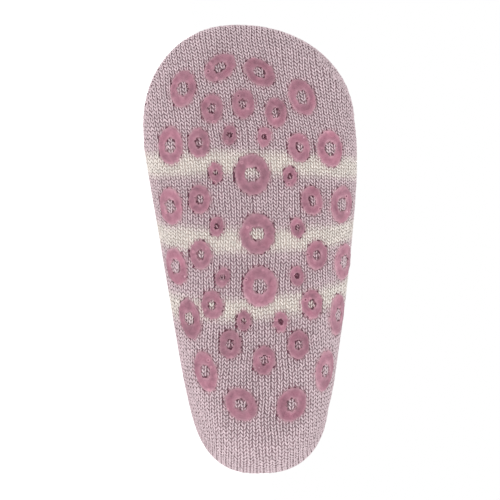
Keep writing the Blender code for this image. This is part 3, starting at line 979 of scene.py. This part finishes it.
RIB_KNIT = (STITCHES["t"] < CUFF_ROW) & (STITCHES["wale"] % 2 == 0)
RIB_PURL = (STITCHES["t"] < CUFF_ROW) & (STITCHES["wale"] % 2 == 1)
HIDDEN |= RIB_PURL
LOWER += np.where(RIB_KNIT, 0.12, 0.0)
STITCHES["w"] = STITCHES["w"] * np.where(RIB_KNIT, 1.35, 1.0)

band = band_amount(STITCHES["k"] * COURSE)
chance = RNG.random(COUNT)
cream = np.clip(1.12 * band + 0.30 * (chance - 0.5) * np.clip(band * 5, 0, 1), 0, 1)
# painted shade: where the knit turns up at the sides the yarn is painted a little darker, to tone
# down the light that falls there
side_shade = LOOSE_AND_SIDE_LIT * np.interp(STITCHES["p"][:, 0], [70, 92], [1.0, 0.2])
shade = np.clip(0.5 + 0.14 * RNG.normal(0, 1, COUNT) - 0.12 * side_shade, 0, 1)
YARN_TAG = np.stack([cream, shade, RING_SHADE, 1 - SOAKED], -1)

sole_part = (STITCHES["wale"] < WALES) & (STITCHES["t"] > 6.0) & ~(
    (STITCHES["zone"] == 1) & (STITCHES["n"][:, 2] > 0.3))
seen = ~HIDDEN
fore = sole_part & (STITCHES["p"][:, 0] > 84)
mid = sole_part & (STITCHES["p"][:, 0] <= 84) & (STITCHES["p"][:, 0] > 50)
heel = sole_part & (STITCHES["p"][:, 0] <= 50)
rest = ~sole_part
leg = rest & (STITCHES["t"] < 4.0)
top = rest & ~leg
instep = top & (STITCHES["wale"] >= WALES) & (STITCHES["p"][:, 0] > 74)
ankle = top & ~instep
for name, pick in (("knit_sole_toe", fore), ("knit_sole_middle", mid), ("knit_sole_heel", heel),
                   ("knit_instep", instep), ("knit_ankle", ankle), ("knit_leg", leg)):
    stitch_mesh(name, pick & seen, YARN, 4, LOWER, YARN_TAG)


def gap_shade_mesh():
    """Dark spots of painted shade at the deepest points of the sole's knit, in the fork between
    neighbouring wales.
    """
    pick = np.where(sole_part & seen)[0]
    p, e, n = (STITCHES[k][pick] for k in ("p", "e", "n"))
    w, c = STITCHES["w"][pick], STITCHES["c"][pick]
    side = np.cross(n, e)
    skew = np.interp(STITCHES["d"][pick], SKEW_AT, SKEW)
    jitter = RNG.normal(0, 1, (len(pick), 3))
    along = 0.10 * c + 0.04 * jitter[:, 0]
    middle = p + along[:, None] * e + (0.5 * w + skew * along)[:, None] * side \
        - (0.14 - 0.09 * NEAR_RING[pick])[:, None] * n
    # the spots of painted shade are bigger near the rings, smaller where the knit turns up at the
    # sides and in cream
    size = (1 + 0.60 * NEAR_RING[pick]) * (1 + 0.15 * jitter[:, 1]) * (1 - 0.4 * LOOSE_AND_SIDE_LIT[pick])
    size *= np.interp(p[:, 0], [18, 35, 86, 98], [0.85, 1.14, 1.14, 0.7])
    size *= 1 - 0.60 * YARN_TAG[pick, 0]
    corners = np.array([(1, 0, 0), (0, 1, 0), (-1, 0, 0), (0, -1, 0), (0, 0, 1), (0, 0, -1.0)])
    reach = np.stack([0.25 * c * size, 0.16 * w * size, np.full(len(pick), 0.05)], -1)
    local = corners[None] * reach[:, None]
    verts = (middle[:, None] + local[..., :1] * e[:, None] + local[..., 1:2] * side[:, None]
             + local[..., 2:] * n[:, None])
    tris = np.array([(0, 4, 1), (1, 4, 2), (2, 4, 3), (3, 4, 0),
                     (1, 5, 0), (2, 5, 1), (3, 5, 2), (0, 5, 3)])
    faces = tris[None] + (np.arange(len(pick)) * 6)[:, None, None]
    tags = np.zeros((len(pick), 6, 4))
    tags[..., 0] = YARN_TAG[pick, 0][:, None]
    tags[..., 1] = 0.4
    # how dark the painted shade is, lighter where the knit turns up at the sides
    tags[..., 2] = (1.05 - 0.8 * LOOSE_AND_SIDE_LIT[pick])[:, None]
    tags[..., 3] = (1 - np.clip(1.6 * SOAKED[pick], 0, 1))[:, None]
    add_mesh("knit_gap_shade", to_world(pressed(verts.reshape(-1, 3), 0.02)), faces.reshape(-1, 3),
             CORE, {"yarn": tags.reshape(-1, 4)})


gap_shade_mesh()


def strand_mesh(name, p, e, side, n, rows, long, wide, slant):
    """Single closed spindles: rows as in LEG, long mm to a step along, wide mm to a step across,
    slanting by mm across for each mm along."""
    base, tris = leg_template(rows, 6)
    count = len(p)
    shift = RNG.normal(0, 1, (count, 4))
    along = base[None, :, 0] * long * (1 + 0.04 * shift[:, :1])
    across = base[None, :, 1] * wide + (slant + 0.05 * shift[:, 1:2]) * along
    lift = base[None, :, 2] + 0.02 * shift[:, 2:3]
    verts = (p[:, None] + along[..., None] * e[:, None] + across[..., None] * side[:, None]
             + lift[..., None] * n[:, None])
    faces = tris[None] + (np.arange(count) * len(base))[:, None, None]
    tags = np.zeros((count, len(base), 4))
    tags[..., 1] = np.clip(0.5 + 0.15 * shift[:, 3:4], 0, 1)
    # painted shade at both ends of each strand
    tags[..., 2] = np.where(np.abs(base[:, 0]) > 0.6, 0.5, 0.05)
    tags[..., 3] = 1
    made = add_mesh(name, to_world(pressed(verts.reshape(-1, 3), 0.02)), faces.reshape(-1, 3),
                    YARN, {"yarn": tags.reshape(-1, 4)})
    print(name, "strands", count)
    return made


PURL = [
    (-0.78, 0.0, -0.34, 0.00, 0.00), (-0.42, 0.0, -0.16, 0.24, 0.16), (0.0, 0.0, -0.10, 0.29, 0.18),
    (0.42, 0.0, -0.16, 0.24, 0.16), (0.78, 0.0, -0.34, 0.00, 0.00),
]
purl = np.where(RIB_PURL)[0]
purl_side = np.cross(STITCHES["n"][purl], STITCHES["e"][purl])
strand_mesh("knit_rib_purl", STITCHES["p"][purl] - 0.22 * STITCHES["n"][purl], purl_side,
            STITCHES["e"][purl], STITCHES["n"][purl], PURL,
            0.62 * STITCHES["w"][purl][:, None], 1.0, 0.0)

# a chain of stitches closes the rim
LINK = [
    (-0.78, 0.10, -0.20, 0.00, 0.00), (-0.40, 0.20, 0.10, 0.17, 0.20), (0.0, 0.30, 0.20, 0.21, 0.25),
    (0.40, 0.34, 0.12, 0.18, 0.20), (0.80, 0.38, -0.20, 0.00, 0.00),
]
links = 118
link_at = np.array([float(v) for v in wale_angle(np.array(0.0), np.arange(links) / links * 2)])
link_skin, link_n = surface(np.zeros(links), link_at), normal(np.zeros(links), link_at)
link_n = unit(link_n * np.array([1.0, 1.0, 0.0]))
link_up = np.tile([0.0, 0.0, 1.0], (links, 1))
link_p = link_skin - 0.5 * (WALL + 0.1) * link_n + 0.34 * link_up
link_e = unit(np.roll(link_skin, -1, axis=0) - np.roll(link_skin, 1, axis=0))
link_long = np.linalg.norm(np.roll(link_skin, -1, axis=0) - link_skin, axis=-1)[:, None]
for mirror, name in ((1.0, "knit_rim_out"), (-1.0, "knit_rim_in")):
    strand_mesh(name, link_p, link_e, link_n * mirror, link_up, LINK, link_long, 1.9, 0.0)


def seam_line():
    """The linking seam on top of the toe, as even points: place, direction, normal."""
    ends = np.array([(w["t"][-1], np.mod(w["a"][-1], 2 * math.pi)) for w in WALE_LINES
                     if w["sole"]])
    fine = np.linspace(0, len(ends) - 1, 2000)
    t = np.interp(fine, np.arange(len(ends)), ends[:, 0])
    a = np.interp(fine, np.arange(len(ends)), ends[:, 1])
    line = surface(t, a)
    run = running(line)
    even = np.arange(1.2, run[-1] - 1.2, 0.82)
    t, a = np.interp(even, run, t), np.interp(even, run, a)
    points, n = surface(t, a), normal(t, a)
    # the ends sink into the knit
    sunk = 0.45 * (1 - np.clip(np.minimum(even, run[-1] - even) / 4.5, 0, 1))
    return points - sunk[:, None] * n, unit(np.gradient(points, axis=0)), n


seam_p, seam_e, seam_n = seam_line()
seam_side = np.cross(seam_n, seam_e)
WHIP = [
    (-0.95, 0.0, -0.20, 0.00, 0.00), (-0.50, 0.0, 0.22, 0.28, 0.20), (0.0, 0.0, 0.44, 0.33, 0.24),
    (0.50, 0.0, 0.22, 0.28, 0.20), (0.95, 0.0, -0.20, 0.00, 0.00),
]
strand_mesh("toe_seam", seam_p, seam_side, seam_e, seam_n, WHIP, 0.95, 0.95, 0.35)
ROLL = [
    (-1.3, 0.0, -0.14, 0.00, 0.00), (-0.6, 0.0, -0.04, 0.38, 0.26), (0.0, 0.0, -0.02, 0.42, 0.28),
    (0.6, 0.0, -0.04, 0.38, 0.26), (1.3, 0.0, -0.14, 0.00, 0.00),
]
strand_mesh("toe_seam_fill", seam_p, seam_e, seam_side, seam_n, ROLL, 1.0, 1.0, 0.0)


# ------------------------------------------------------------------ the wall behind the stitches
def wall_mesh():
    around, stations = 120, 150
    fine = np.linspace(0.0, T_END, 4001)
    run = sum(running(surface(fine, a)) for a in (0.0, math.pi))
    rows = np.interp(np.linspace(0.0, run[-1], stations + 1), run, fine)[:-1]
    outer, inner, facing = [], [], []
    for t in rows:
        a = wale_angle(np.array(t), np.arange(around) / around * 2)
        skin, n = surface(t, a), normal(t, a)
        skin = creased(skin, n)
        facing.append(n)
        outer.append(pressed(skin - 0.30 * n, 0.12))
        inner.append(pressed(skin - WALL * n, WALL))
    rim_mid = [(outer[0] * (1 - f) + inner[0] * f) + np.array([0, 0, RIM_ROUND * g])
               for f, g in ((0.12, 0.62), (0.35, 1.0), (0.65, 1.0), (0.88, 0.62))]
    loops = [inner[i] for i in range(stations - 1, -1, -1)] + rim_mid[::-1] + outer
    points = np.concatenate(loops + [np.array([TOE_TIP]) - [[WALL, 0, 0]],
                                     np.array([TOE_TIP]) - [[0.3, 0, 0]]])
    count = len(loops)
    i, j = np.meshgrid(np.arange(count - 1), np.arange(around), indexing="ij")
    k = (j + 1) % around
    quads = np.stack([i * around + j, i * around + k, (i + 1) * around + k,
                      (i + 1) * around + j], -1).reshape(-1, 4)
    tips = len(loops) * around
    j = np.arange(around)
    k = (j + 1) % around
    last = (count - 1) * around
    fan = np.concatenate([np.stack([np.full(around, tips), k, j, j], -1),
                          np.stack([np.full(around, tips + 1), last + j, last + k, last + k], -1)])
    tris = np.concatenate([quads[:, [0, 1, 2]], quads[:, [0, 2, 3]], fan[:, :3]])
    # attribute for the bands, by distance back from the toe's root
    tags = np.zeros((len(points), 4)); tags[:, 3] = 1; tags[:, 1] = 0.5
    runs = {}
    root_run = np.zeros((stations, around))
    grid = np.array(outer)
    seg = np.linalg.norm(np.diff(grid, axis=0), axis=-1)
    total = np.concatenate([np.zeros((1, around)), np.cumsum(seg, axis=0)])
    row_root = np.searchsorted(rows, LAST_ROW)
    frac = (LAST_ROW - rows[row_root - 1]) / (rows[row_root] - rows[row_root - 1])
    at_root = total[row_root - 1] * (1 - frac) + total[row_root] * frac
    d = at_root[None] - total
    root_y = grid[row_root, :, 1]
    ruler = np.arange(-40.0, 110.0, 0.5)
    amount, painted_shade_amount = np.zeros_like(d), np.zeros_like(d)
    turned = np.array(facing)[..., 2]
    for j in range(around):
        place = np.interp(d[:, j], course_shift(ruler, root_y[j]), ruler)
        amount[:, j] = band_amount(place)
        # painted shade on the wall behind the stitches: darkest on the flat of the sole, painted
        # lighter where the knit turns up at the sides and light from the sides falls
        painted_shade_amount[:, j] = 0.08 + 0.42 * (1 - looseness_and_side_light(turned[:, j], grid[:, j, 0]))
    start = (stations + len(rim_mid)) * around
    tags[start:start + stations * around, 0] = amount.ravel()
    tags[start:start + stations * around, 2] = painted_shade_amount.ravel()
    along, chart_at, off_chart = chart_place(grid.reshape(-1, 3))
    out, hole, size = ring_reach(along, chart_at)
    soaked = np.where((hole <= 0) & (off_chart < 1.5), hole_soak(hole, size), 0.0)
    soaked = np.where((hole > 0) & (out < 0.4) & (off_chart < 1.5), 0.8, soaked)
    tags[start:start + stations * around, 3] = 1 - soaked
    made = add_mesh("sock_wall", to_world(points), tris, [CORE, LINING], {"yarn": tags})
    slots = np.zeros(len(tris), np.int32)
    inner_quads = (np.arange(len(quads)) // around) < stations + 1
    slots[:len(quads)] = np.where(inner_quads, 1, 0)
    slots[len(quads):2 * len(quads)] = np.where(inner_quads, 1, 0)
    slots[2 * len(quads):2 * len(quads) + around] = 1
    made.data.polygons.foreach_set("material_index", slots)
    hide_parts("sock")
    print("sock_wall triangles", len(tris))
    return made


wall_mesh()


# ------------------------------------------------------------------ the printed rings
# A ring's section: how far from the hole's edge to the outer edge, mm beyond that, and its
# height, mm. Its lowest part has soaked in between the stitches round it.
RING_SECTION = [
    # part  beyond height
    (0.00, -0.42, -0.45), (0.00, -0.42, -0.20), (0.00, -0.05, -0.13), (0.00, 0.0, 0.00),
    (0.01, 0.0, 0.14), (0.035, 0.0, 0.27), (0.09, 0.0, 0.38), (0.17, 0.0, 0.43),
    (0.27, 0.0, 0.41), (0.40, 0.0, 0.37), (0.52, 0.0, 0.35), (0.64, 0.0, 0.36),
    (0.75, 0.0, 0.40), (0.85, 0.0, 0.42), (0.92, 0.0, 0.35), (0.97, 0.0, 0.22),
    (1.00, 0.0, 0.03), (1.00, 0.05, -0.13), (1.00, 0.42, -0.20), (1.00, 0.42, -0.45),
]


def ring_mesh(number, ring):
    segments = 64
    angle = np.arange(segments) / segments * 2 * math.pi
    rng = np.random.default_rng(100 + number)
    length, width, hole_length, hole_width = ring["size"]

    def wobble(amount, low, high, even=0.5):
        out = np.zeros(segments)
        for k in range(low, high):
            out += rng.normal() * np.cos(k * angle + rng.random() * 7) / k ** even
        return amount * out
    outer_wave = wobble(0.055, 2, 20, 0.35)
    hole_wave = wobble(0.085, 2, 12, 0.3) * min(1.0, hole_width / 2.4 + 0.25)
    swell = 1 + wobble(0.07, 1, 6)
    blotch = wobble(0.16, 1, 6)
    loops, tags = [], []
    # the small rings are printed thinner, and so paler
    tone = 0.41 + 0.10 * rng.normal() + (0.16 if hole_width < 1.5 else 0.0)
    # painted light: rings far round towards the sides are painted paler, where the light from the
    # sides falls
    pale = np.clip((abs(ring["around"]) - 10) / 14, 0, 1) * 0.55
    soak_hole = float(np.interp(hole_width, [1.3, 2.1, 3.1], [1.0, 0.6, 0.25]))
    for part, beyond, height in RING_SECTION:
        half_long = hole_length / 2 + (length - hole_length) / 2 * part
        half_wide = hole_width / 2 + (width - hole_width) / 2 * part
        beyond = max(beyond, -0.34 * hole_width)
        grow = hole_wave * (1 - part) ** 2 + outer_wave * part ** 2 + beyond
        ahead = (half_long + grow) * np.cos(angle)
        aside = (half_wide + grow) * np.sin(angle)
        c, s = math.cos(ring["swing"]), math.sin(ring["swing"])
        u = ring["at"] + (ahead * c - aside * s) / ring["slope"]
        v = ring["around"] + ahead * s + aside * c
        skin, n = on_chart(CHART_POINTS, u, v), unit(on_chart(CHART_NORMALS, u, v))
        rise = height * (swell if height > 0 else 1.0) * np.ones(segments)
        if height > 0.3:
            rise = rise + 0.022 * rng.normal(size=segments)
        loops.append(pressed(skin + rise[:, None] * n, 0.03))
        rim = abs(2 * part - 1) ** 2.6
        thin = float(np.interp(height, [-0.02, 0.05, 0.2, 0.36], [1.0, 0.75, 0.35, 0.0]))
        mottle = tone + pale + blotch * math.sin(math.pi * min(part + 0.2, 1.0)) + 0.07 * rng.normal(
            size=segments)
        tags.append(np.stack([np.full(segments, rim) * (0.7 + 0.5 * blotch / 0.16 * 0.3),
                              np.full(segments, thin), mottle,
                              np.full(segments, soak_hole if part < 0.5 else 0.15)], -1))
    count = len(loops)
    i, j = np.meshgrid(np.arange(count), np.arange(segments), indexing="ij")
    k, m = (j + 1) % segments, (i + 1) % count
    quads = np.stack([i * segments + j, i * segments + k, m * segments + k, m * segments + j],
                     -1).reshape(-1, 4)
    made = add_mesh("ring_" + ring["node"][5:], to_world(np.concatenate(loops)), quads[:, ::-1],
                    SILICONE, {"print": np.clip(np.concatenate(tags), 0, 1)})
    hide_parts(ring["node"])


for number, ring in enumerate(RINGS):
    ring_mesh(number, ring)

# ------------------------------------------------------------------ floor and light
floor_mesh = bpy.data.meshes.new("floor")
floor_mesh.from_pydata([(-3, -3, -0.0004), (3, -3, -0.0004), (3, 3, -0.0004), (-3, 3, -0.0004)],
                       [], [(0, 1, 2, 3)])
floor = bpy.data.objects.new("floor", floor_mesh)
scene.collection.objects.link(floor)
paint = Nodes("floor")
paint.shader.inputs["Base Color"].default_value = (0.35, 0.35, 0.35, 1.0)
paint.shader.inputs["Emission Color"].default_value = (1.0, 1.0, 1.0, 1.0)
paint.shader.inputs["Emission Strength"].default_value = 1.05
paint.shader.inputs["Roughness"].default_value = 0.9
paint.shader.inputs["Specular IOR Level"].default_value = 0.1
floor_mesh.materials.append(paint.material)

world = bpy.data.worlds.new("studio")
world.use_nodes = True
world.node_tree.nodes["Background"].inputs["Color"].default_value = (1.0, 1.0, 1.0, 1.0)
world.node_tree.nodes["Background"].inputs["Strength"].default_value = 1.0
scene.world = world


def area_light(name, where, size, watts, towards=None):
    """A soft box: where it hangs, from the sock's middle, in the view's right, up and back."""
    data = bpy.data.lights.new(name, "AREA")
    data.shape = "SQUARE"
    data.size = size
    data.energy = watts
    made = bpy.data.objects.new(name, data)
    scene.collection.objects.link(made)
    spot = target + right * where[0] + up * where[1] + back * where[2]
    made.location = spot
    made.rotation_euler = (target - spot).to_track_quat("-Z", "Y").to_euler()
    return made


area_light("low", (-0.10, -0.75, 0.30), 0.6, 2.8)
area_light("side", (0.75, -0.10, 0.22), 0.5, 0.9)
area_light("glint", (-0.62, 0.22, 0.42), 0.14, 0.9)
